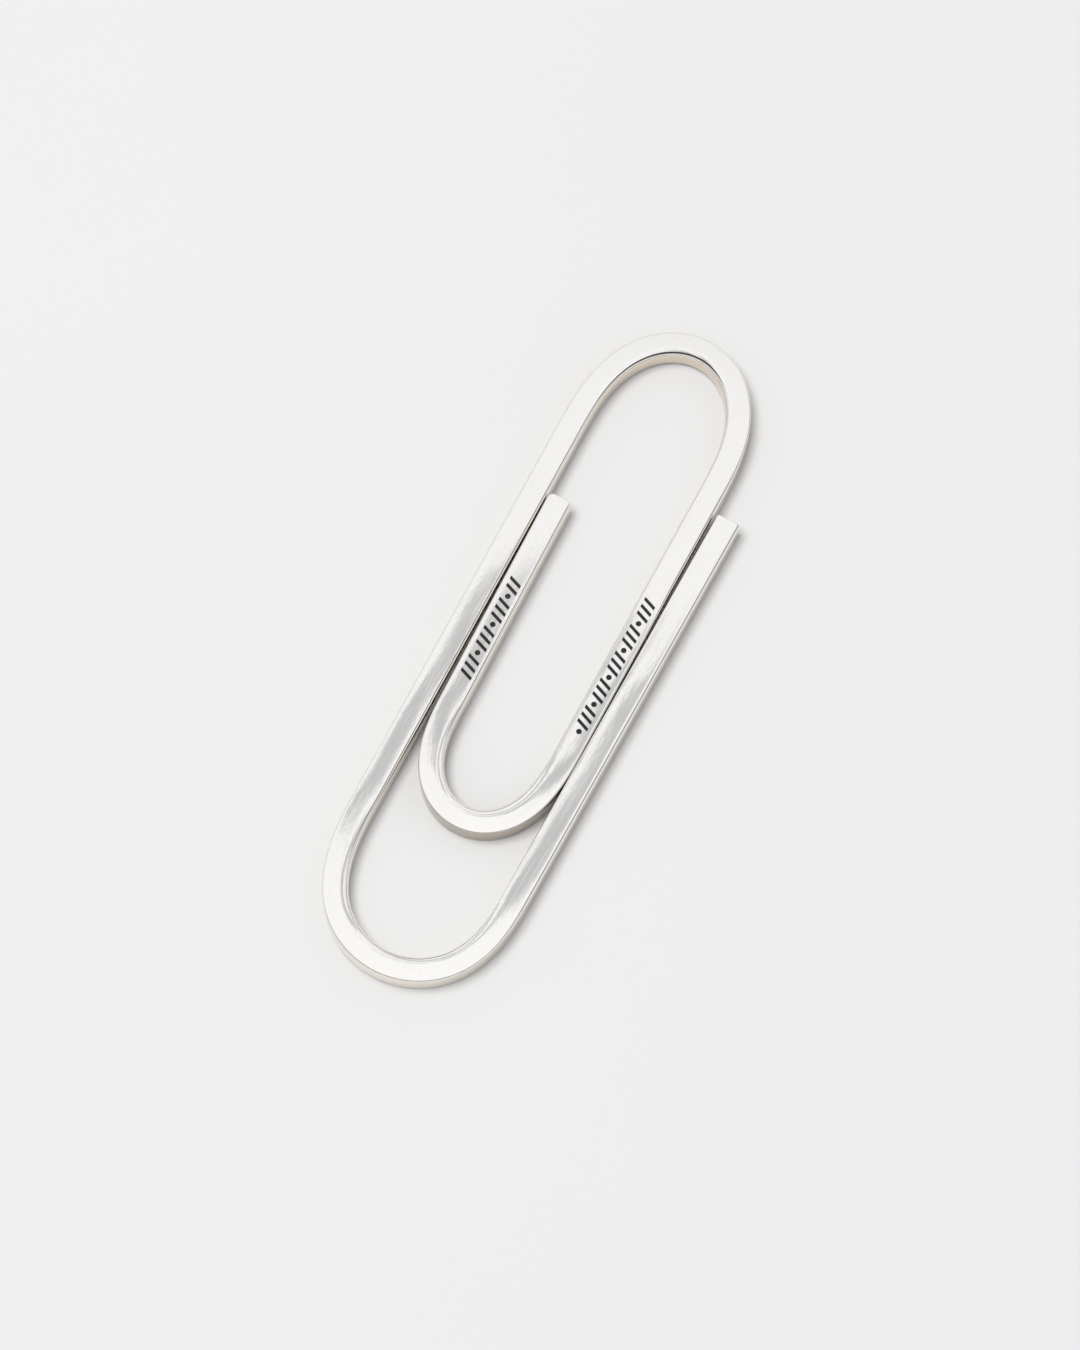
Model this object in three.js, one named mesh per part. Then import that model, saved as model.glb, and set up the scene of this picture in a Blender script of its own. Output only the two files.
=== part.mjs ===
// Money clip in the form of a paper clip: one length of square silver wire, bent flat.
//
// The wire runs from the outer free tip down the outer free leg, round the outer bend, up the
// spine, round the spring bend, down the tongue, round the tongue bend and up to the tongue tip.
// Folded notes go between the tongue and the outer loop. The wire is divided into its straight
// legs, its bends and its two dressed tips. Each bend is divided where the wire runs exactly
// along X, because that is where one side of the clip twists against the other.
//
// Millimetres. +Y runs along the clip towards the spring bend, +Z points up out of the clip's
// flat, and the origin is the centre of the outline on the surface that the clip lies on.

import * as THREE from 'three';

// ---- Driving dimensions ----

const wireSize = 2.7; // across the flats of the square wire
const edgeRadius = 0.18; // rounding of the wire's long edges
const tipLength = 3.0; // dressed length at each free end
const outerTipRadius = 0.25; // corner rounding of the outer free tip, seen from above
const tongueTipRadius = 0.6; // corner rounding of the tongue tip, so that it slides over notes
const partGap = 0.2; // clearance between one length of wire and the next

// Straight lengths of the wire.
const outerFreeLegLength = 45.5;
const spineLength = 45.2;
const tongueLegLength = 31.5;
const tongueFreeLegLength = 24.7;

// Each bend's curvature grows evenly over easeIn, holds, and fades evenly over easeOut.
// Every bend turns clockwise, seen from above. turn is in degrees.
const outerBend = { turn: 178.8, easeIn: 10.4, hold: 14.8, easeOut: 13.4 };
const springBend = { turn: 180.6, easeIn: 18.0, hold: 1.7, easeOut: 18.2 };
const tongueBend = { turn: 178.8, easeIn: 12.6, hold: 4.2, easeOut: 12.4 };

// Facets.
const stationSpacing = 0.1; // spacing of the points that the centre line is worked out at
const bendFacetLength = 1.0; // length of one facet round a bend
const edgeFacets = 2; // facets round one long edge of the wire
const tipFacets = 6; // facets round one corner of a tip

// ---- Centre line ----

const bendLength = (bend) => bend.easeIn + bend.hold + bend.easeOut;

// Where each stretch of the wire ends, measured along the wire from the outer free tip.
const outerBendStart = outerFreeLegLength;
const spineStart = outerBendStart + bendLength(outerBend);
const springBendStart = spineStart + spineLength;
const tongueLegStart = springBendStart + bendLength(springBend);
const tongueBendStart = tongueLegStart + tongueLegLength;
const tongueFreeLegStart = tongueBendStart + bendLength(tongueBend);
const wireLength = tongueFreeLegStart + tongueFreeLegLength;

// How fast a bend turns, in radians per millimetre, at a distance from its own start.
function bendCurvature(bend, distance) {
  const length = bendLength(bend);
  if (distance <= 0 || distance >= length) return 0;
  const peak = THREE.MathUtils.degToRad(bend.turn) / (bend.hold + (bend.easeIn + bend.easeOut) / 2);
  return peak * Math.min(1, distance / bend.easeIn, (length - distance) / bend.easeOut);
}

function wireCurvature(along) {
  return (
    bendCurvature(outerBend, along - outerBendStart) +
    bendCurvature(springBend, along - springBendStart) +
    bendCurvature(tongueBend, along - tongueBendStart)
  );
}

// Walks the wire from the outer free tip. heading is the direction of travel, in radians from +X;
// it starts so that the spine runs along +Y.
function walkCentreLine() {
  const count = Math.round(wireLength / stationSpacing);
  const step = wireLength / count;
  const stations = [{ x: 0, y: 0, heading: THREE.MathUtils.degToRad(90 + outerBend.turn) }];
  for (let i = 0; i < count; i += 1) {
    const from = stations[i];
    const heading = from.heading - wireCurvature((i + 0.5) * step) * step;
    const mean = (from.heading + heading) / 2;
    stations.push({
      x: from.x + Math.cos(mean) * step,
      y: from.y + Math.sin(mean) * step,
      heading,
    });
  }
  return stations;
}

const stations = walkCentreLine();

// The wire's position and heading at any length along it.
function wireAt(along) {
  const place = (along / wireLength) * (stations.length - 1);
  const index = Math.min(Math.floor(place), stations.length - 2);
  const share = place - index;
  const [a, b] = [stations[index], stations[index + 1]];
  return {
    x: THREE.MathUtils.lerp(a.x, b.x, share),
    y: THREE.MathUtils.lerp(a.y, b.y, share),
    heading: THREE.MathUtils.lerp(a.heading, b.heading, share),
  };
}

// The length along the wire where its heading falls to a given number of degrees.
function lengthAtHeading(degrees) {
  const target = THREE.MathUtils.degToRad(degrees);
  const index = stations.findIndex((station) => station.heading <= target);
  const [a, b] = [stations[index - 1], stations[index]];
  const share = (a.heading - target) / (a.heading - b.heading);
  return ((index - 1 + share) / (stations.length - 1)) * wireLength;
}

const outerTwist = lengthAtHeading(180);
const springTwist = lengthAtHeading(0);
const tongueTwist = lengthAtHeading(-180);

// A stretch of the centre line at the wire's mid height, as a curve to sweep the section along.
class WireStretch extends THREE.Curve {
  constructor(start, end) {
    super();
    this.start = start;
    this.end = end;
  }

  getPointAt(share) {
    const { x, y } = wireAt(THREE.MathUtils.lerp(this.start, this.end, share));
    return new THREE.Vector3(x, y, wireSize / 2);
  }

  getTangentAt(share) {
    const { heading } = wireAt(THREE.MathUtils.lerp(this.start, this.end, share));
    return new THREE.Vector3(Math.cos(heading), Math.sin(heading), 0);
  }
}

// ---- Shapes ----

// A closed outline with its corners rounded. Each corner is [x, y, radius], anticlockwise.
function roundedOutline(corners) {
  const shape = new THREE.Shape();
  corners.forEach(([x, y, radius], i) => {
    const [beforeX, beforeY] = corners[(i + corners.length - 1) % corners.length];
    const [afterX, afterY] = corners[(i + 1) % corners.length];
    const arrive = new THREE.Vector2(beforeX - x, beforeY - y).setLength(radius).add({ x, y });
    const leave = new THREE.Vector2(afterX - x, afterY - y).setLength(radius).add({ x, y });
    if (i === 0) shape.moveTo(arrive.x, arrive.y);
    else shape.lineTo(arrive.x, arrive.y);
    if (radius > 0) shape.quadraticCurveTo(x, y, leave.x, leave.y);
  });
  shape.closePath();
  return shape;
}

const half = wireSize / 2;
const wireSection = roundedOutline([
  [half, -half, edgeRadius],
  [half, half, edgeRadius],
  [-half, half, edgeRadius],
  [-half, -half, edgeRadius],
]);

// Wire swept between two lengths, less half the clearance at each end.
function sweptWire(start, end, facets) {
  return new THREE.ExtrudeGeometry(wireSection, {
    steps: facets,
    curveSegments: edgeFacets,
    extrudePath: new WireStretch(start + partGap / 2, end - partGap / 2),
  });
}

const straightWire = (start, end) => sweptWire(start, end, 1);
const bentWire = (start, end) => sweptWire(start, end, Math.ceil((end - start) / bendFacetLength));

// A dressed tip in its own frame: it points along +X from its joint with the leg, and its two
// outer corners are rounded as seen from above.
function tipGeometry(radius) {
  const outline = roundedOutline([
    [partGap / 2, -half, 0],
    [tipLength, -half, radius],
    [tipLength, half, radius],
    [partGap / 2, half, 0],
  ]);
  return new THREE.ExtrudeGeometry(outline, {
    depth: wireSize,
    curveSegments: tipFacets,
    bevelEnabled: false,
  });
}

// ---- Assembly ----

const polishedSilver = { color: 0xe9e6e1, roughness: 0.12, metalness: 1 };

const clip = new THREE.Group();
clip.name = 'money_clip';

function addPart(name, geometry) {
  const mesh = new THREE.Mesh(geometry, new THREE.MeshStandardMaterial(polishedSilver));
  mesh.name = name;
  clip.add(mesh);
  return mesh;
}

// Puts a tip where the leg ends, turned to point out of the wire's end.
function addTip(name, radius, along, turn) {
  const { x, y, heading } = wireAt(along);
  const tip = addPart(name, tipGeometry(radius));
  tip.position.set(x, y, 0);
  tip.rotation.z = heading + turn;
}

const outerLegTop = tipLength;
const tongueLegTop = wireLength - tipLength;

addTip('outer_tip', outerTipRadius, outerLegTop, Math.PI);
addPart('outer_free_leg', straightWire(outerLegTop, outerBendStart));
addPart('outer_bend_free_half', bentWire(outerBendStart, outerTwist));
addPart('outer_bend_spine_half', bentWire(outerTwist, spineStart));
addPart('spine_leg', straightWire(spineStart, springBendStart));
addPart('spring_bend_spine_half', bentWire(springBendStart, springTwist));
addPart('spring_bend_tongue_half', bentWire(springTwist, tongueLegStart));
addPart('tongue_leg', straightWire(tongueLegStart, tongueBendStart));
addPart('tongue_bend_leg_half', bentWire(tongueBendStart, tongueTwist));
addPart('tongue_bend_free_half', bentWire(tongueTwist, tongueFreeLegStart));
addPart('tongue_free_leg', straightWire(tongueFreeLegStart, tongueLegTop));
addTip('tongue_tip', tongueTipRadius, tongueLegTop, 0);

// The origin is the centre of the outline.
const outlineCentre = new THREE.Box3().setFromObject(clip, true).getCenter(new THREE.Vector3());
clip.position.set(-outlineCentre.x, -outlineCentre.y, 0);

export default clip;
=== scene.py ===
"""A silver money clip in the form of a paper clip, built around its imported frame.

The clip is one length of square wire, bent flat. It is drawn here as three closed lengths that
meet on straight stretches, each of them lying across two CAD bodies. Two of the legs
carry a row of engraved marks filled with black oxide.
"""
import math
import random

import bmesh
import bpy
import numpy as np
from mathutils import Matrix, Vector


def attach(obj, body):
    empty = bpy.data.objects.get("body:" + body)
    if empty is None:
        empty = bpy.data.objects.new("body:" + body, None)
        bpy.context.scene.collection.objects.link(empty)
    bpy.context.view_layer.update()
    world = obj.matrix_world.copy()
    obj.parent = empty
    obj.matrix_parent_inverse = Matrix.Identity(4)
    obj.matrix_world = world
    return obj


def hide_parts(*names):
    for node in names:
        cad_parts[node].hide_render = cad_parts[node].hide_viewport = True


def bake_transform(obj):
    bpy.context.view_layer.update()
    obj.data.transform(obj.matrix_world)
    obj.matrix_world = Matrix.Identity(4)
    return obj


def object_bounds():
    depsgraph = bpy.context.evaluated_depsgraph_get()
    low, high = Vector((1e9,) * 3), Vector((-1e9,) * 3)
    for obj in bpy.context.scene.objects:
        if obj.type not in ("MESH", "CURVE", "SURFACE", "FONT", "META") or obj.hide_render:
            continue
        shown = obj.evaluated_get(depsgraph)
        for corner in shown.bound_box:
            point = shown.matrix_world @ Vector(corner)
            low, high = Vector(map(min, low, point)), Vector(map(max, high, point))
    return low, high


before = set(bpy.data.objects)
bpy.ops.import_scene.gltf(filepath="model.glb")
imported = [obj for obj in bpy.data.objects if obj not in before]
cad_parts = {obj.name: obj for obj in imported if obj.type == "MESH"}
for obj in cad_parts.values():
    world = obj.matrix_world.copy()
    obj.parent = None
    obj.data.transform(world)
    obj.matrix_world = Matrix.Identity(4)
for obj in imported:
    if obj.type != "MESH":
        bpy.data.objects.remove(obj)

cad_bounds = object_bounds()

MM = 0.001

# ---- Driving dimensions, in millimetres and degrees, as in the CAD ----

WIRE_SIZE = 2.7
HALF = WIRE_SIZE / 2
OUTER_FREE_LEG = 45.5
SPINE = 45.2
TONGUE_LEG = 31.5
TONGUE_FREE_LEG = 24.7
# Each bend's curvature grows evenly over ease_in, holds, and fades evenly over ease_out.
OUTER_BEND = {"turn": 178.8, "ease_in": 10.4, "hold": 14.8, "ease_out": 13.4}
SPRING_BEND = {"turn": 180.6, "ease_in": 18.0, "hold": 1.7, "ease_out": 18.2}
TONGUE_BEND = {"turn": 178.8, "ease_in": 12.6, "hold": 4.2, "ease_out": 12.4}

# The wire's own finish.
INNER_EDGE = 0.28           # width of the filed edge on the side towards the bends' centres
CRISP_INNER_EDGE = 0.13     # the same on the outer leg, beside the tongue leg
INNER_CREASE = math.radians(28)     # angle at which a filed edge leaves the face
OUTER_EDGE_RADIUS = 0.2     # long edges on the other side
WORN_EDGE_RADIUS = 0.42     # the same edges where the notes slide over them
EDGE_FADE = 9.0             # length over which one kind of edge changes to another
OUTER_TIP_RADIUS = 0.22     # plan corners of the outer tip
TONGUE_TIP_RADIUS = 0.6     # plan corners of the tongue tip
TIP_EDGE_RADIUS = 0.14      # rounding over the end faces
FACE_CROWN = 0.011          # how far a polished face falls away from its middle to its edges
INNER_ROLL_START = 0.3      # offset at which a bend's faces start to roll down to the inner edge
INNER_ROLL_GAIN = 0.62      # depth of that roll at the edge, for each 1/mm of curvature
BEND_EDGE_GAIN = 0.8        # growth of the filed edge, mm for each 1/mm of curvature
BEND_TILT_GAIN = 0.27       # outward slope of a bend's faces, for each 1/mm of curvature
TWIST_RIPPLE = 0.0036       # unevenness of the hand polish, as a slope
RIPPLE_SEED = 11
RIPPLE_WAVELENGTHS = (58.0, 33.0, 19.0, 13.0)
RIPPLE_DIVISOR = 2.4        # brings the sum of those waves to within 1.5 either way

# Sampling of the swept wire.
CENTRE_STEP = 0.05
BEND_STATION = 0.3          # distance between sections round a bend
LEG_STATION = 0.5           # the same on a straight leg
EDGE_SEGMENTS = 6
FACE_SEGMENTS = 14
TIP_STATIONS = 8
SHARP_ANGLE = math.radians(24)      # least angle between two faces that makes a crisp edge

# Engraved marks.
MARK_HEIGHT = 1.43
MARK_DEPTH = 0.2
CUTTER_RISE = 0.3           # how far the cutter stands out above the face
INLAY_DEPTH = 0.05          # how far the black fill lies below the face
INLAY_CLEARANCE = 0.008     # gap between the fill and the walls of its cut
STROKE_WIDTH = 0.38
STROKE_PITCH = 0.83         # least distance between marks; a row spreads them out evenly
STROKE_LEAN = 0.42          # lean of a stroke, for each mm of height
STROKES_PER_GROUP = 3       # strokes between one dot and the next
DOT_RADIUS = 0.3
DOT_SIDES = 20


# ---- Centre line ----

def bend_length(bend):
    return bend["ease_in"] + bend["hold"] + bend["ease_out"]


OUTER_BEND_START = OUTER_FREE_LEG
SPINE_START = OUTER_BEND_START + bend_length(OUTER_BEND)
SPRING_BEND_START = SPINE_START + SPINE
TONGUE_LEG_START = SPRING_BEND_START + bend_length(SPRING_BEND)
TONGUE_BEND_START = TONGUE_LEG_START + TONGUE_LEG
TONGUE_FREE_LEG_START = TONGUE_BEND_START + bend_length(TONGUE_BEND)
WIRE_LENGTH = TONGUE_FREE_LEG_START + TONGUE_FREE_LEG


def bend_curvature(bend, distance):
    """Curvature of a bend, in 1/mm, at distances from its own start."""
    length = bend_length(bend)
    peak = math.radians(bend["turn"]) / (bend["hold"] + (bend["ease_in"] + bend["ease_out"]) / 2)
    rise = np.minimum(distance / bend["ease_in"], (length - distance) / bend["ease_out"])
    return peak * np.clip(rise, 0, 1)


def wire_curvature(along):
    """Curvature of the whole wire, in 1/mm, at lengths along it."""
    return (
        bend_curvature(OUTER_BEND, along - OUTER_BEND_START)
        + bend_curvature(SPRING_BEND, along - SPRING_BEND_START)
        + bend_curvature(TONGUE_BEND, along - TONGUE_BEND_START)
    )


def bend_finish(along):
    """The wire's curvature, eased in and out so that a polished face has no kinks."""
    curvature = wire_curvature(along)
    peak = wire_curvature(CENTRE_LINE[0]).max()
    share = curvature / peak
    return peak * share ** 1.5 * (2 - share ** 0.5)


def within(along, *stretches):
    """1 inside the stretches of wire, easing to 0 over EDGE_FADE outside them."""
    share = np.zeros_like(along)
    for start, end in stretches:
        inside = np.minimum(along - start + EDGE_FADE, end + EDGE_FADE - along) / EDGE_FADE
        share = np.maximum(share, np.clip(inside, 0, 1))
    return share * share * (3 - 2 * share)


def walk_centre_line():
    """Length, x, y and heading of closely spaced points from the outer tip to the tongue tip."""
    count = round(WIRE_LENGTH / CENTRE_STEP)
    along = np.linspace(0, WIRE_LENGTH, count + 1)
    middle = (along[1:] + along[:-1]) / 2
    step = WIRE_LENGTH / count
    turned = np.concatenate([[0], np.cumsum(wire_curvature(middle) * step)])
    # The spine heads along +Y, so the wire sets out turned back by the whole outer bend.
    heading = math.radians(90 + OUTER_BEND["turn"]) - turned
    mean = (heading[1:] + heading[:-1]) / 2
    x = np.concatenate([[0], np.cumsum(np.cos(mean) * step)])
    y = np.concatenate([[0], np.cumsum(np.sin(mean) * step)])
    # The middle of the wire's own box is moved to the middle of the CAD's.
    across = np.stack([-np.sin(heading), np.cos(heading)]) * HALF
    outline = np.stack([x, y])
    sides = np.concatenate([outline + across, outline - across], axis=1)
    centre = (sides.min(axis=1) + sides.max(axis=1)) / 2
    low, high = cad_bounds
    frame_centre = np.array([low.x + high.x, low.y + high.y]) / 2 / MM
    shift = frame_centre - centre
    return along, x + shift[0], y + shift[1], heading


CENTRE_LINE = walk_centre_line()


def wire_at(along):
    """x, y and heading of the centre line at lengths along the wire."""
    lengths, x, y, heading = CENTRE_LINE
    return (
        np.interp(along, lengths, x),
        np.interp(along, lengths, y),
        np.interp(along, lengths, heading),
    )


# ---- The swept wire ----

def ripple(seed, along):
    """A slow, smooth wander along the wire, within 1.5 either way."""
    draw = random.Random(seed)
    total = np.zeros_like(along)
    for wavelength in RIPPLE_WAVELENGTHS:
        phase = draw.uniform(0, 2 * math.pi)
        total += np.sin(2 * math.pi * along / wavelength + phase)
    return total / RIPPLE_DIVISOR


def cosine_steps(count):
    """Shares from 0 to 1, both left out, that lie closer together near the ends."""
    return (1 - np.cos(np.linspace(0, math.pi, count + 1)[1:-1])) / 2


def section_ring(half_width, half_height, radius_left, filed_right):
    """A rounded rectangle as offsets to the left and upwards, and each point's sideways share.

    The left edges are plain rounds. The right edges are filed back by filed_right: they leave
    the face at a crease and round off to the side wall.

    The points run from the right edge's top, over the top face, down the left, and back
    underneath. The last array is 1 on the side walls and below 0.25 on top and underneath.
    """
    quarter = math.pi / 2
    radius_right = filed_right / (1 - math.sin(INNER_CREASE))
    corners = (
        (-1, 1, radius_right, INNER_CREASE, 0.0, quarter - INNER_CREASE),
        (1, 1, radius_left, 0.0, quarter, 2 * quarter),
        (1, -1, radius_left, 0.0, 2 * quarter, 3 * quarter),
        (-1, -1, radius_right, INNER_CREASE, 3 * quarter + INNER_CREASE, 4 * quarter),
    )
    arcs = []
    for side, rise, radius, crease, first_angle, last_angle in corners:
        angle = np.linspace(first_angle, last_angle, EDGE_SEGMENTS + 1)
        facing_left = -np.cos(angle)
        facing_up = np.sin(angle)
        left = side * (half_width - radius) + radius * facing_left
        up = rise * (half_height - radius * math.cos(crease)) + radius * facing_up
        arcs.append((left, up, facing_left ** 2))
    ring = []
    for index, arc in enumerate(arcs):
        following = arcs[(index + 1) % len(arcs)]
        share = cosine_steps(FACE_SEGMENTS)
        for part, after in zip(arc, following):
            ring.append(np.concatenate([part, part[-1] + (after[0] - part[-1]) * share]))
    return tuple(np.concatenate(ring[start::3]) for start in range(3))


def rounded_end(distance, radius):
    """How much an outline has drawn in at a distance from the end of a rounded corner."""
    inside = np.clip(radius - distance, 0, radius)
    return radius - math.sqrt(max(radius ** 2 - inside ** 2, 0))


def station_lengths(start, end, tip_radius):
    """Lengths along the wire to sweep the section through, closer together round bends."""
    inner = [start]
    while inner[-1] < end:
        bent = wire_curvature(np.array(inner[-1])) > 0
        inner.append(inner[-1] + (BEND_STATION if bent else LEG_STATION))
    reach = max(tip_radius, TIP_EDGE_RADIUS)
    near_end = reach * (1 - np.cos(np.linspace(0, math.pi / 2, TIP_STATIONS + 1)))
    head = near_end if start == 0 else np.array([0.0])
    tail = near_end[::-1] if end == WIRE_LENGTH else np.array([0.0])
    first = start + head[-1]
    last = end - max(tail[0], BEND_STATION / 2)
    inner = [length for length in inner if first < length < last]
    return np.concatenate([start + head, inner, end - tail])


def wire_rings(lengths):
    """Points of the wire's section at each length: [station, point, xyz], with their facing."""
    curvature = bend_finish(lengths)
    outer_leg = (0, OUTER_BEND_START)
    worn = within(lengths, outer_leg, (TONGUE_LEG_START, TONGUE_LEG_START + EDGE_FADE))
    outer_radii = OUTER_EDGE_RADIUS + (WORN_EDGE_RADIUS - OUTER_EDGE_RADIUS) * worn
    filed = INNER_EDGE + (CRISP_INNER_EDGE - INNER_EDGE) * within(lengths, outer_leg)
    filed += BEND_EDGE_GAIN * curvature
    x, y, heading = wire_at(lengths)
    twist = ripple(RIPPLE_SEED, lengths) * TWIST_RIPPLE
    points, sideways = [], []
    for index, length in enumerate(lengths):
        from_tongue_tip = WIRE_LENGTH - length
        plan = rounded_end(length, OUTER_TIP_RADIUS)
        plan += rounded_end(from_tongue_tip, TONGUE_TIP_RADIUS)
        over = rounded_end(min(length, from_tongue_tip), TIP_EDGE_RADIUS)
        half_width = HALF - plan
        edges = (outer_radii[index], filed[index])
        left, up, facing = section_ring(half_width, HALF - over, *edges)
        # The faces are slightly crowned. Round a bend they also roll down to the inner edge and
        # fall away outwards, and the hand polish leaves a slow twist in them.
        crown = FACE_CROWN / HALF * np.abs(left / HALF) ** 3
        inward = np.clip(-left - INNER_ROLL_START, 0, None) / (HALF - INNER_ROLL_START)
        crown += INNER_ROLL_GAIN * curvature[index] * inward ** 2 / HALF
        outward = np.clip(left / HALF + 1, 0, 2) * BEND_TILT_GAIN * curvature[index]
        turned = np.abs(left / HALF + np.sign(twist[index])) * abs(twist[index])
        raised = up * (1 - crown - outward - turned)
        spread = left * (1 - FACE_CROWN / HALF * (up / HALF) ** 2)
        across = np.array([-math.sin(heading[index]), math.cos(heading[index])])
        ring = np.empty((len(left), 3))
        ring[:, 0] = x[index] + across[0] * spread
        ring[:, 1] = y[index] + across[1] * spread
        ring[:, 2] = HALF + raised
        points.append(ring)
        sideways.append(facing)
    return np.array(points), np.array(sideways)


def sweep_faces(stations, around):
    """Quads between neighbouring rings of points, and the two end caps."""
    quads = []
    for i in range(stations - 1):
        near, far = i * around, (i + 1) * around
        for j in range(around):
            k = (j + 1) % around
            quads.append((near + j, near + k, far + k, far + j))
    first_cap = tuple(range(around))[::-1]
    last_cap = tuple((stations - 1) * around + j for j in range(around))
    return quads, [first_cap, last_cap]


def unroll(mesh, lengths, ring, quad_count):
    """Coordinates in millimetres: length along the wire, and distance round its section."""
    around = len(ring)
    gaps = np.linalg.norm(np.roll(ring, -1, axis=0) - ring, axis=1)
    distance = np.concatenate([[0], np.cumsum(gaps)])
    corners = np.empty(len(mesh.loops), np.int64)
    mesh.loops.foreach_get("vertex_index", corners)
    station, place = corners // around, corners % around
    # The quads that close a ring take the full distance round instead of starting again at 0.
    wraps = np.zeros(len(corners), bool)
    swept_corners = quad_count * 4
    turn = np.arange(swept_corners) % 4
    wraps[:swept_corners] = (place[:swept_corners] == 0) & ((turn == 1) | (turn == 2))
    uv = np.stack([lengths[station], np.where(wraps, distance[-1], distance[place])], axis=1)
    unrolled = mesh.uv_layers.new(name="unrolled")
    unrolled.data.foreach_set("uv", uv.astype(np.float32).ravel())


def swept_wire(name, start, end):
    """A closed length of the wire, with its own unrolled coordinates and a map of its walls."""
    tip_radius = OUTER_TIP_RADIUS if start == 0 else TONGUE_TIP_RADIUS
    lengths = station_lengths(start, end, tip_radius)
    points, sideways = wire_rings(lengths)
    stations, around = sideways.shape
    quads, caps = sweep_faces(stations, around)
    mesh = bpy.data.meshes.new(name)
    mesh.from_pydata((points.reshape(-1, 3) * MM).tolist(), [], quads + caps)
    unroll(mesh, lengths, points[stations // 2], len(quads))
    wall = mesh.attributes.new("wall", "FLOAT", "POINT")
    wall.data.foreach_set("value", sideways.astype(np.float32).ravel())
    obj = bpy.data.objects.new(name, mesh)
    bpy.context.scene.collection.objects.link(obj)
    return obj


def finish_surface(obj):
    """Outward faces, smooth shading, and crisp edges where two faces really meet at an angle."""
    edit = bmesh.new()
    edit.from_mesh(obj.data)
    bmesh.ops.recalc_face_normals(edit, faces=edit.faces)
    for face in edit.faces:
        face.smooth = True
    for edge in edit.edges:
        edge.smooth = edge.calc_face_angle(0) < SHARP_ANGLE
    edit.to_mesh(obj.data)
    edit.free()


# ---- Engraved marks ----

def stroke_outline(middle, shrink):
    """A slanted stroke, as (along, across) points, drawn in by a margin all round."""
    half_width = STROKE_WIDTH / 2 - shrink
    half_height = MARK_HEIGHT / 2 - shrink
    lean = STROKE_LEAN * half_height
    return [
        (middle - lean - half_width, -half_height),
        (middle - lean + half_width, -half_height),
        (middle + lean + half_width, half_height),
        (middle + lean - half_width, half_height),
    ]


def dot_outline(middle, shrink):
    """A round dot, in the same way."""
    angles = np.linspace(0, 2 * math.pi, DOT_SIDES, endpoint=False)
    radius = DOT_RADIUS - shrink
    return [(middle + radius * math.cos(a), radius * math.sin(a)) for a in angles]


def mark_outlines(start, end, shrink):
    """Groups of slanted strokes with a dot between groups, filling a stretch of a leg."""
    count = int((end - start) / STROKE_PITCH)
    pitch = (end - start) / count
    outlines = []
    for index in range(count):
        middle = start + (index + 0.5) * pitch
        is_dot = index % (STROKES_PER_GROUP + 1) == STROKES_PER_GROUP
        draw = dot_outline if is_dot else stroke_outline
        outlines.append(draw(middle, shrink))
    return outlines


def prisms(name, outlines, low, high):
    """One mesh of upright prisms over outlines given along and across the wire."""
    edit = bmesh.new()
    for outline in outlines:
        along = np.array([point[0] for point in outline])
        across = np.array([point[1] for point in outline])
        x, y, heading = wire_at(along)
        x = x - np.sin(heading) * across
        y = y + np.cos(heading) * across
        bottom = [edit.verts.new(Vector((a, b, low)) * MM) for a, b in zip(x, y)]
        top = [edit.verts.new(Vector((a, b, high)) * MM) for a, b in zip(x, y)]
        edit.faces.new(bottom[::-1])
        edit.faces.new(top)
        for j in range(len(outline)):
            k = (j + 1) % len(outline)
            edit.faces.new((bottom[j], bottom[k], top[k], top[j]))
    bmesh.ops.recalc_face_normals(edit, faces=edit.faces)
    mesh = bpy.data.meshes.new(name)
    edit.to_mesh(mesh)
    edit.free()
    obj = bpy.data.objects.new(name, mesh)
    bpy.context.scene.collection.objects.link(obj)
    return obj


def engrave(obj, start, end):
    """Cuts a row of marks into the top face between two lengths along the wire."""
    outlines = mark_outlines(start, end, 0)
    cutter = prisms("cutter", outlines, WIRE_SIZE - MARK_DEPTH, WIRE_SIZE + CUTTER_RISE)
    cut = obj.modifiers.new("marks", "BOOLEAN")
    cut.operation = "DIFFERENCE"
    cut.solver = "EXACT"
    cut.object = cutter
    graph = bpy.context.evaluated_depsgraph_get()
    engraved = bpy.data.meshes.new_from_object(obj.evaluated_get(graph))
    obj.modifiers.remove(cut)
    plain = obj.data
    obj.data = engraved
    bpy.data.meshes.remove(plain)
    bpy.data.objects.remove(cutter)
    obj.data.name = obj.name


def inlay(name, start, end):
    """The black fill of a row of marks."""
    outlines = mark_outlines(start, end, INLAY_CLEARANCE)
    floor_gap = INLAY_CLEARANCE / 2
    return prisms(name, outlines, WIRE_SIZE - MARK_DEPTH + floor_gap, WIRE_SIZE - INLAY_DEPTH)


# ---- Materials ----

# Colours of the silver. A pattern mixes each pair.
POLISHED_FACE = ((0.965, 0.955, 0.935), (0.905, 0.895, 0.875))
SCRATCHED_FACE = (0.8, 0.79, 0.77)
HANDLED_WALL = ((0.92, 0.87, 0.80), (0.80, 0.735, 0.645))
# Painted shade: the walls round the spring bend and the tongue bend are darkened to stand in for
# the shade that falls inside those loops.
SPRING_BEND_SHADE = ((0.80, 0.70, 0.59), (0.70, 0.61, 0.52))
TONGUE_BEND_SHADE = ((0.57, 0.50, 0.425), (0.35, 0.305, 0.26))
BEND_SHADE_FADE = 8.0          # length over which the painted shade of those two bends builds up

# How sideways the surface faces, from where it starts to look like a wall to a full wall.
WALL_COLOUR = (0.55, 1.0)
WALL_ROUGHNESS = (0.5, 1.0)
WALL_LINES = (0.6, 1.0)

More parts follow.
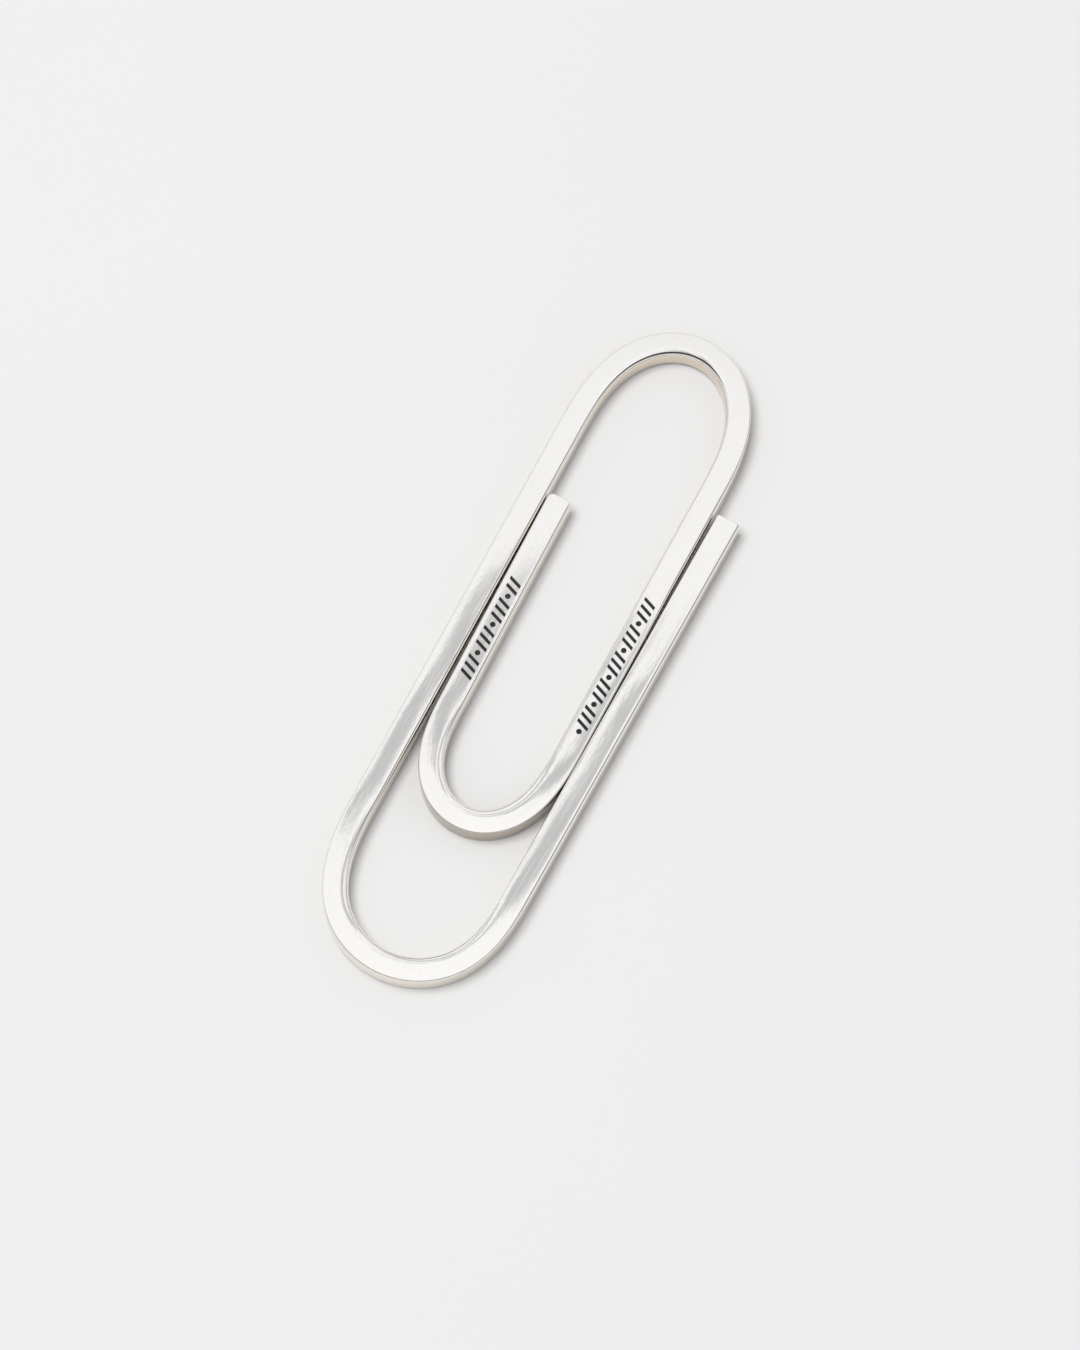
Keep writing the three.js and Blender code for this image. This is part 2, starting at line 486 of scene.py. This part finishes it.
# Patterns over the silver, in unrolled millimetres. A noise is given as its scale, its detail and,
# in most cases, its roughness. A stretch scales it along the wire, round the section and in depth.
MOTTLE = (2.3, 4.0, 0.62)
CLOUD = (0.22, 2.0, 0.5)
GRAIN = (6.0, 3.0, 0.6)
BUFFING = (1.0, 3.0, 0.6)
BUFFING_ANGLE = 0.7
BUFFING_STRETCH = (0.7, 2.0, 1.0)
DRAWN_LINES = (1.0, 3.0)
DRAWN_STRETCH = (0.04, 7.0, 1.0)
HAIRLINE_STRETCH = 0.12         # scale of the fine scratches along the wire
HAIRLINE_CUT = (0.66, 0.74)     # noise levels between which a scratch starts and is full
HAIRLINES = ((0.25, 9.0), (-0.6, 11.0), (1.25, 8.0))    # turn and density of each set of them

FACE_ROUGHNESS = (0.03, 0.07)
ROUGHER_WALL = 0.1          # added to a wall's roughness
ROUGHER_SCRATCH = 0.08      # added in a scratch
SCRATCH_SHOWS = 0.14        # how much of the scratched colour a scratch shows

# Relief of the finish, in millimetres.
BUFFED_RELIEF = 0.0016
GRAIN_RELIEF = 0.00022
SCRATCH_DEPTH = 0.00025
DRAWN_RELIEF = 0.003
OXIDE_RELIEF = 0.01

# Black oxide and the worn spots in it, with its noises given in the same way but in metres.
OXIDE_COLOURS = ((0.006, 0.006, 0.007), (0.03, 0.029, 0.028))
OXIDE_ROUGHNESS = (0.42, 0.62)
OXIDE_GRAIN = (9000.0, 4.0, 0.6)
OXIDE_PATCHES = (1500.0, 2.0)


class Nodes:
    """A short way to add and join shader nodes."""

    def __init__(self, tree):
        self.tree = tree
        self.tree.nodes.clear()

    def add(self, kind, **settings):
        node = self.tree.nodes.new(kind)
        for key, value in settings.items():
            setattr(node, key, value)
        return node

    def join(self, output, target):
        self.tree.links.new(output, target)

    def noise(self, vector, scale, detail=2.0, roughness=0.5):
        node = self.add("ShaderNodeTexNoise")
        node.inputs["Scale"].default_value = scale
        node.inputs["Detail"].default_value = detail
        node.inputs["Roughness"].default_value = roughness
        self.join(vector, node.inputs["Vector"])
        return node.outputs["Fac"]

    def stretch(self, vector, angle, scale):
        """The same coordinates scaled, which draws a noise out into lines, and then turned.

        The turn comes last, so it gives another pattern and leaves the lines' direction alone.
        """
        node = self.add("ShaderNodeMapping")
        node.inputs["Rotation"].default_value = (0, 0, angle)
        node.inputs["Scale"].default_value = scale
        self.join(vector, node.inputs["Vector"])
        return node.outputs["Vector"]

    def remap(self, value, low, high, to_low=0.0, to_high=1.0):
        node = self.add("ShaderNodeMapRange")
        node.inputs["From Min"].default_value = low
        node.inputs["From Max"].default_value = high
        node.inputs["To Min"].default_value = to_low
        node.inputs["To Max"].default_value = to_high
        self.join(value, node.inputs["Value"])
        return node.outputs["Result"]

    def math(self, operation, first, second):
        node = self.add("ShaderNodeMath", operation=operation)
        for socket, value in zip(node.inputs, (first, second)):
            if isinstance(value, (int, float)):
                socket.default_value = value
            else:
                self.join(value, socket)
        return node.outputs["Value"]

    def mix(self, factor, first, second):
        """Mixes two colours, each a tuple or a socket."""
        node = self.add("ShaderNodeMix", data_type="RGBA")
        self.join(factor, node.inputs["Factor"])
        for socket, value in ((node.inputs[6], first), (node.inputs[7], second)):
            if isinstance(value, tuple):
                socket.default_value = (*value, 1)
            else:
                self.join(value, socket)
        return node.outputs[2]

    def bump(self, height, relief, normal=None, strength=1.0):
        """Relief in millimetres, on top of any earlier normal."""
        node = self.add("ShaderNodeBump")
        node.inputs["Distance"].default_value = relief * MM
        node.inputs["Strength"].default_value = strength
        self.join(height, node.inputs["Height"])
        if normal is not None:
            self.join(normal, node.inputs["Normal"])
        return node.outputs["Normal"]

    def attribute(self, name):
        return self.add("ShaderNodeAttribute", attribute_name=name).outputs["Fac"]


def new_material(name):
    material = bpy.data.materials.new(name)
    material.use_nodes = True
    nodes = Nodes(material.node_tree)
    surface = nodes.add("ShaderNodeBsdfPrincipled")
    output = nodes.add("ShaderNodeOutputMaterial")
    nodes.join(surface.outputs["BSDF"], output.inputs["Surface"])
    return material, nodes, surface


def hairlines(nodes, place, angle, density):
    """Fine polishing scratches along the wire, 1 on a scratch and 0 between scratches."""
    stretched = nodes.stretch(place, angle, (HAIRLINE_STRETCH, density, 1.0))
    return nodes.remap(nodes.noise(stretched, 1.0, 1.0), *HAIRLINE_CUT)


def round_bend(nodes, along, start, end):
    """1 round a bend, fading to 0 towards its two ends, and 0 elsewhere on the wire."""
    rise = nodes.remap(along, start, start + BEND_SHADE_FADE)
    fall = nodes.remap(along, end, end - BEND_SHADE_FADE)
    return nodes.math("MULTIPLY", rise, fall)


def wall_tint_and_shade(nodes, place, mottle, drawn):
    """Colour of the side walls: warm, with painted shade making them darker round the spring bend
    and darkest round the tongue bend.
    """
    split = nodes.add("ShaderNodeSeparateXYZ")
    nodes.join(place, split.inputs["Vector"])
    along = split.outputs["X"]
    # Masks of the painted shade round the spring bend and the tongue bend.
    spring = round_bend(nodes, along, SPRING_BEND_START, TONGUE_LEG_START)
    tongue = round_bend(nodes, along, TONGUE_BEND_START, TONGUE_FREE_LEG_START)
    handled = nodes.mix(drawn, *HANDLED_WALL)
    handled_or_spring_shade = nodes.mix(spring, handled, nodes.mix(mottle, *SPRING_BEND_SHADE))
    return nodes.mix(tongue, handled_or_spring_shade, nodes.mix(drawn, *TONGUE_BEND_SHADE))


def silver_material():
    """Hand-polished silver: bright faces, warm side walls with painted shade round two bends, fine
    scratches and soft mottling.
    """
    material, nodes, surface = new_material("polished_silver")
    place = nodes.add("ShaderNodeUVMap", uv_map="unrolled").outputs["UV"]
    wall = nodes.attribute("wall")
    mottle = nodes.noise(place, *MOTTLE)
    cloud = nodes.noise(place, *CLOUD)
    scratch = 0.0
    for angle, density in HAIRLINES:
        scratch = nodes.math("MAXIMUM", hairlines(nodes, place, angle, density), scratch)
    # The walls keep the long lines that the draw plate left along the wire.
    drawn = nodes.noise(nodes.stretch(place, 0, DRAWN_STRETCH), *DRAWN_LINES)

    half_cloud = nodes.math("MULTIPLY", cloud, 0.5)
    clouded = nodes.math("ADD", half_cloud, nodes.remap(mottle, 0.3, 0.7, 0, 0.5))
    bright = nodes.mix(clouded, *POLISHED_FACE)
    face = nodes.mix(nodes.remap(scratch, 0, 1, 0, SCRATCH_SHOWS), bright, SCRATCHED_FACE)
    # The walls' colour, with its painted shade round two bends.
    walls_with_shade = wall_tint_and_shade(nodes, place, mottle, drawn)
    colour = nodes.mix(nodes.remap(wall, *WALL_COLOUR), face, walls_with_shade)
    nodes.join(colour, surface.inputs["Base Color"])
    surface.inputs["Metallic"].default_value = 1.0

    worn = nodes.remap(mottle, 0.3, 0.75, *FACE_ROUGHNESS)
    rough = nodes.math("ADD", worn, nodes.remap(wall, *WALL_ROUGHNESS, 0.0, ROUGHER_WALL))
    rougher = nodes.math("ADD", rough, nodes.remap(scratch, 0, 1, 0, ROUGHER_SCRATCH))
    nodes.join(rougher, surface.inputs["Roughness"])

    buffing = nodes.noise(nodes.stretch(place, BUFFING_ANGLE, BUFFING_STRETCH), *BUFFING)
    buffed = nodes.bump(buffing, BUFFED_RELIEF)
    grain = nodes.bump(nodes.noise(place, *GRAIN), GRAIN_RELIEF, buffed)
    scored = nodes.bump(scratch, -SCRATCH_DEPTH, grain)
    lined = nodes.math("MULTIPLY", drawn, nodes.remap(wall, *WALL_LINES))
    nodes.join(nodes.bump(lined, DRAWN_RELIEF, scored), surface.inputs["Normal"])
    return material


def oxide_material():
    """Black oxide in the engraving: matt, with a slight grain and greyer worn spots."""
    material, nodes, surface = new_material("black_oxide")
    place = nodes.add("ShaderNodeTexCoord").outputs["Object"]
    grain = nodes.noise(place, *OXIDE_GRAIN)
    patches = nodes.noise(place, *OXIDE_PATCHES)
    colour = nodes.mix(nodes.remap(patches, 0.45, 0.8), *OXIDE_COLOURS)
    nodes.join(colour, surface.inputs["Base Color"])
    nodes.join(nodes.remap(grain, 0.3, 0.7, *OXIDE_ROUGHNESS), surface.inputs["Roughness"])
    nodes.join(nodes.bump(grain, OXIDE_RELIEF, strength=0.6), surface.inputs["Normal"])
    return material


# ---- Assembly ----

# Lengths along the wire where one drawn length meets the next.
SPINE_SEAM = SPINE_START
TONGUE_SEAM = TONGUE_BEND_START

# Lengths along the wire between which each row of marks runs.
TONGUE_LEG_MARKS = (180.2, 196.9)
TONGUE_FREE_LEG_MARKS = (230.1, 242.3)


def cross_over(piece):
    """Bakes the placement of a length of wire into its mesh."""
    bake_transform(piece)


def build_clip():
    silver = silver_material()
    oxide = oxide_material()

    outer = swept_wire("outer_wire", 0, SPINE_SEAM)
    spring = swept_wire("spring_wire", SPINE_SEAM, TONGUE_SEAM)
    tongue = swept_wire("tongue_wire", TONGUE_SEAM, WIRE_LENGTH)
    engrave(spring, *TONGUE_LEG_MARKS)
    engrave(tongue, *TONGUE_FREE_LEG_MARKS)
    for wire in (outer, spring, tongue):
        finish_surface(wire)
        wire.data.materials.clear()
        wire.data.materials.append(silver)
    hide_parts("outer_tip", "outer_free_leg", "outer_bend_free_half", "outer_bend_spine_half")
    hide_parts("spine_leg", "spring_bend_spine_half", "spring_bend_tongue_half", "tongue_leg")
    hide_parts("tongue_bend_leg_half", "tongue_bend_free_half", "tongue_free_leg", "tongue_tip")
    cross_over(outer)
    cross_over(spring)
    cross_over(tongue)

    fills = (
        ("tongue_leg_marks", TONGUE_LEG_MARKS, "tongue"),
        ("tongue_free_leg_marks", TONGUE_FREE_LEG_MARKS, "tongue_end"),
    )
    for name, stretch, body in fills:
        fill = inlay(name, *stretch)
        fill.data.materials.append(oxide)
        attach(fill, body)


# ---- Studio ----

# Angles in degrees, distances in millimetres.
CAMERA_AZIMUTH = 27.05
CAMERA_ELEVATION = 69.78
CAMERA_DISTANCE = 486.0
CAMERA_LENS = 125.04
CAMERA_AIM = (-0.391, -2.063, 0.0)

# From here on, lengths are in metres.
CAMERA_NEAR = 0.01
CAMERA_FAR = 50.0
FLOOR_SIZE = 8.0
FLOOR_HEIGHT = -0.01 * MM
PAPER = ((0.80, 0.80, 0.80), (0.82, 0.82, 0.82))

CARD_GREY = (0.57, 0.57, 0.58)
CARD_HEIGHT = 1.0
CARD_SLANTS = (math.radians(20), math.radians(72))      # of its ends and of its sides
# Where a card turns from clear to grey at each edge, as shares of its depth and of its width.
CARD_NEAR_EDGE = (0.0, 0.06)
CARD_FAR_EDGE = (1.0, 0.82)
CARD_LEFT_EDGE = (0.0, 0.14)
CARD_RIGHT_EDGE = (1.0, 0.8)
# Each card's name, where it hangs (x, y), its width and depth, and how far its near end flares.
CARDS = (
    ("left_card", -0.197, 0.300, 0.052, 0.132, 0.0),
    ("right_card", -0.133, 0.294, 0.040, 0.158, 1.3),
)

# The reflected tent's brightness against height, from 0 at the horizon to 1 overhead.
TENT_LEVELS = (
    (0.0, 0.75), (0.2, 0.8), (0.45, 0.72), (0.7, 0.8), (0.86, 0.9), (0.94, 0.98), (1.0, 1.04),
)
# Dark bands in the tent: heights between which each one builds up and fades out again, how far
# to one side it starts and is full, and its colour.
RIGHT_BAND = ((0.36, 0.44), (0.72, 0.6), (0.2, 0.5), (0.05, 0.045, 0.04))
NEAR_BAND = ((0.3, 0.4), (0.77, 0.6), (-0.2, -0.6), (0.06, 0.055, 0.05))
TENT_GLOW = (0.47, 0.47, 0.47)
BACKDROP = (0.84, 0.84, 0.84)

KEY_SIZE = 0.8
KEY_ENERGY = 13.6
KEY_PLACE = (-0.32, -0.12, 1.4)


def place_camera():
    azimuth = math.radians(CAMERA_AZIMUTH)
    elevation = math.radians(CAMERA_ELEVATION)
    back = Vector((
        math.sin(azimuth) * math.cos(elevation),
        -math.cos(azimuth) * math.cos(elevation),
        math.sin(elevation),
    ))
    data = bpy.data.cameras.new("camera")
    data.lens = CAMERA_LENS
    data.clip_start = CAMERA_NEAR
    data.clip_end = CAMERA_FAR
    camera = bpy.data.objects.new("camera", data)
    camera.location = (Vector(CAMERA_AIM) + back * CAMERA_DISTANCE) * MM
    camera.rotation_mode = "QUATERNION"
    camera.rotation_quaternion = (-back).to_track_quat("-Z", "Y")
    bpy.context.scene.collection.objects.link(camera)
    bpy.context.scene.camera = camera


def flat_sheet(name, width, depth, flare=0.0, end_slant=0.0, side_slant=math.pi / 2):
    """A flat four-sided sheet centred on its own origin, facing up, with its own coordinates.

    The flare moves the near end's right corner outwards, as a share of half the width.
    """
    across = Vector((math.cos(end_slant), math.sin(end_slant), 0)) * width / 2
    along = Vector((math.cos(side_slant), math.sin(side_slant), 0)) * depth / 2
    corners = [-across - along, across * (1 + flare) - along, across + along, along - across]
    mesh = bpy.data.meshes.new(name)
    mesh.from_pydata([tuple(corner) for corner in corners], [], [(0, 1, 2, 3)])
    sheet = mesh.uv_layers.new(name="sheet")
    sheet.data.foreach_set("uv", [0, 0, 1, 0, 1, 1, 0, 1])
    obj = bpy.data.objects.new(name, mesh)
    bpy.context.scene.collection.objects.link(obj)
    return obj


def lay_floor():
    """A sheet of pale paper just under the clip."""
    floor = flat_sheet("floor", FLOOR_SIZE, FLOOR_SIZE)
    floor.location.z = FLOOR_HEIGHT
    material, nodes, surface = new_material("pale_paper")
    place = nodes.add("ShaderNodeTexCoord").outputs["Object"]
    colour = nodes.mix(nodes.noise(place, 14.0, 3.0), *PAPER)
    nodes.join(colour, surface.inputs["Base Color"])
    surface.inputs["Roughness"].default_value = 0.9
    surface.inputs["Specular IOR Level"].default_value = 0.1
    floor.data.materials.append(material)


def card_material():
    """Grey with soft sides, a crisp near end and a fading far end."""
    material = bpy.data.materials.new("card_grey")
    material.use_nodes = True
    nodes = Nodes(material.node_tree)
    output = nodes.add("ShaderNodeOutputMaterial")
    place = nodes.add("ShaderNodeSeparateXYZ")
    nodes.join(nodes.add("ShaderNodeUVMap", uv_map="sheet").outputs["UV"], place.inputs["Vector"])
    across, along = place.outputs["X"], place.outputs["Y"]
    near, far = nodes.remap(along, *CARD_NEAR_EDGE), nodes.remap(along, *CARD_FAR_EDGE)
    left, right = nodes.remap(across, *CARD_LEFT_EDGE), nodes.remap(across, *CARD_RIGHT_EDGE)
    ends = nodes.math("MULTIPLY", near, far)
    sides = nodes.math("MULTIPLY", left, right)
    clear = nodes.add("ShaderNodeBsdfTransparent")
    grey = nodes.add("ShaderNodeEmission")
    grey.inputs["Color"].default_value = (*CARD_GREY, 1)
    blend = nodes.add("ShaderNodeMixShader")
    nodes.join(nodes.math("MULTIPLY", ends, sides), blend.inputs["Fac"])
    nodes.join(clear.outputs["BSDF"], blend.inputs[1])
    nodes.join(grey.outputs["Emission"], blend.inputs[2])
    nodes.join(blend.outputs["Shader"], output.inputs["Surface"])
    return material


def hang_cards():
    """Two grey cards over the clip, which only reflections show."""
    material = card_material()
    for name, x, y, width, depth, flare in CARDS:
        card = flat_sheet(name, width, depth, flare, *CARD_SLANTS)
        card.location = (x, y, CARD_HEIGHT)
        card.visible_camera = False
        card.visible_diffuse = False
        card.visible_shadow = False
        card.data.materials.append(material)


def darken(nodes, tent, height, sideways, band):
    """Adds a dark band that stands part of the way up one side of the tent."""
    rise, fall, reach, colour = band
    standing = nodes.math("MULTIPLY", nodes.remap(height, *rise), nodes.remap(height, *fall))
    share = nodes.math("MULTIPLY", nodes.remap(sideways, *reach), standing)
    return nodes.mix(share, tent, colour)


def pitch_tent():
    """A white tent, brightest overhead and greyer half way down, with two dark bands."""
    world = bpy.data.worlds.new("tent")
    bpy.context.scene.world = world
    world.use_nodes = True
    nodes = Nodes(world.node_tree)
    direction = nodes.add("ShaderNodeSeparateXYZ")
    nodes.join(nodes.add("ShaderNodeTexCoord").outputs["Generated"], direction.inputs["Vector"])
    x, y, z = (direction.outputs[axis] for axis in "XYZ")
    levels = nodes.add("ShaderNodeValToRGB")
    while len(levels.color_ramp.elements) < len(TENT_LEVELS):
        levels.color_ramp.elements.new(0.5)
    for element, (height, level) in zip(levels.color_ramp.elements, TENT_LEVELS):
        element.position = height
        element.color = (level, level, level, 1)
    nodes.join(z, levels.inputs["Fac"])
    shaded = darken(nodes, levels.outputs["Color"], z, x, RIGHT_BAND)
    tent = darken(nodes, shaded, z, y, NEAR_BAND)
    # Only reflections show the tent. The floor is lit by its dim, even glow and by the key light.
    ray = nodes.add("ShaderNodeLightPath").outputs
    reflected = nodes.mix(ray["Is Glossy Ray"], TENT_GLOW, tent)
    seen = nodes.mix(ray["Is Camera Ray"], reflected, BACKDROP)
    background = nodes.add("ShaderNodeBackground")
    nodes.join(seen, background.inputs["Color"])
    output = nodes.add("ShaderNodeOutputWorld")
    nodes.join(background.outputs["Background"], output.inputs["Surface"])


def hang_key_light():
    """A soft round light, high on the left, which casts the shadows and shows in no reflection."""
    key = bpy.data.lights.new("key", "AREA")
    key.shape = "DISK"
    key.size = KEY_SIZE
    key.energy = KEY_ENERGY
    softbox = bpy.data.objects.new("key", key)
    softbox.location = KEY_PLACE
    softbox.rotation_mode = "QUATERNION"
    softbox.rotation_quaternion = (-softbox.location).to_track_quat("-Z", "Y")
    softbox.visible_glossy = False
    bpy.context.scene.collection.objects.link(softbox)


place_camera()
build_clip()
lay_floor()
hang_cards()
pitch_tent()
hang_key_light()
bpy.context.scene.view_settings.view_transform = "Standard"
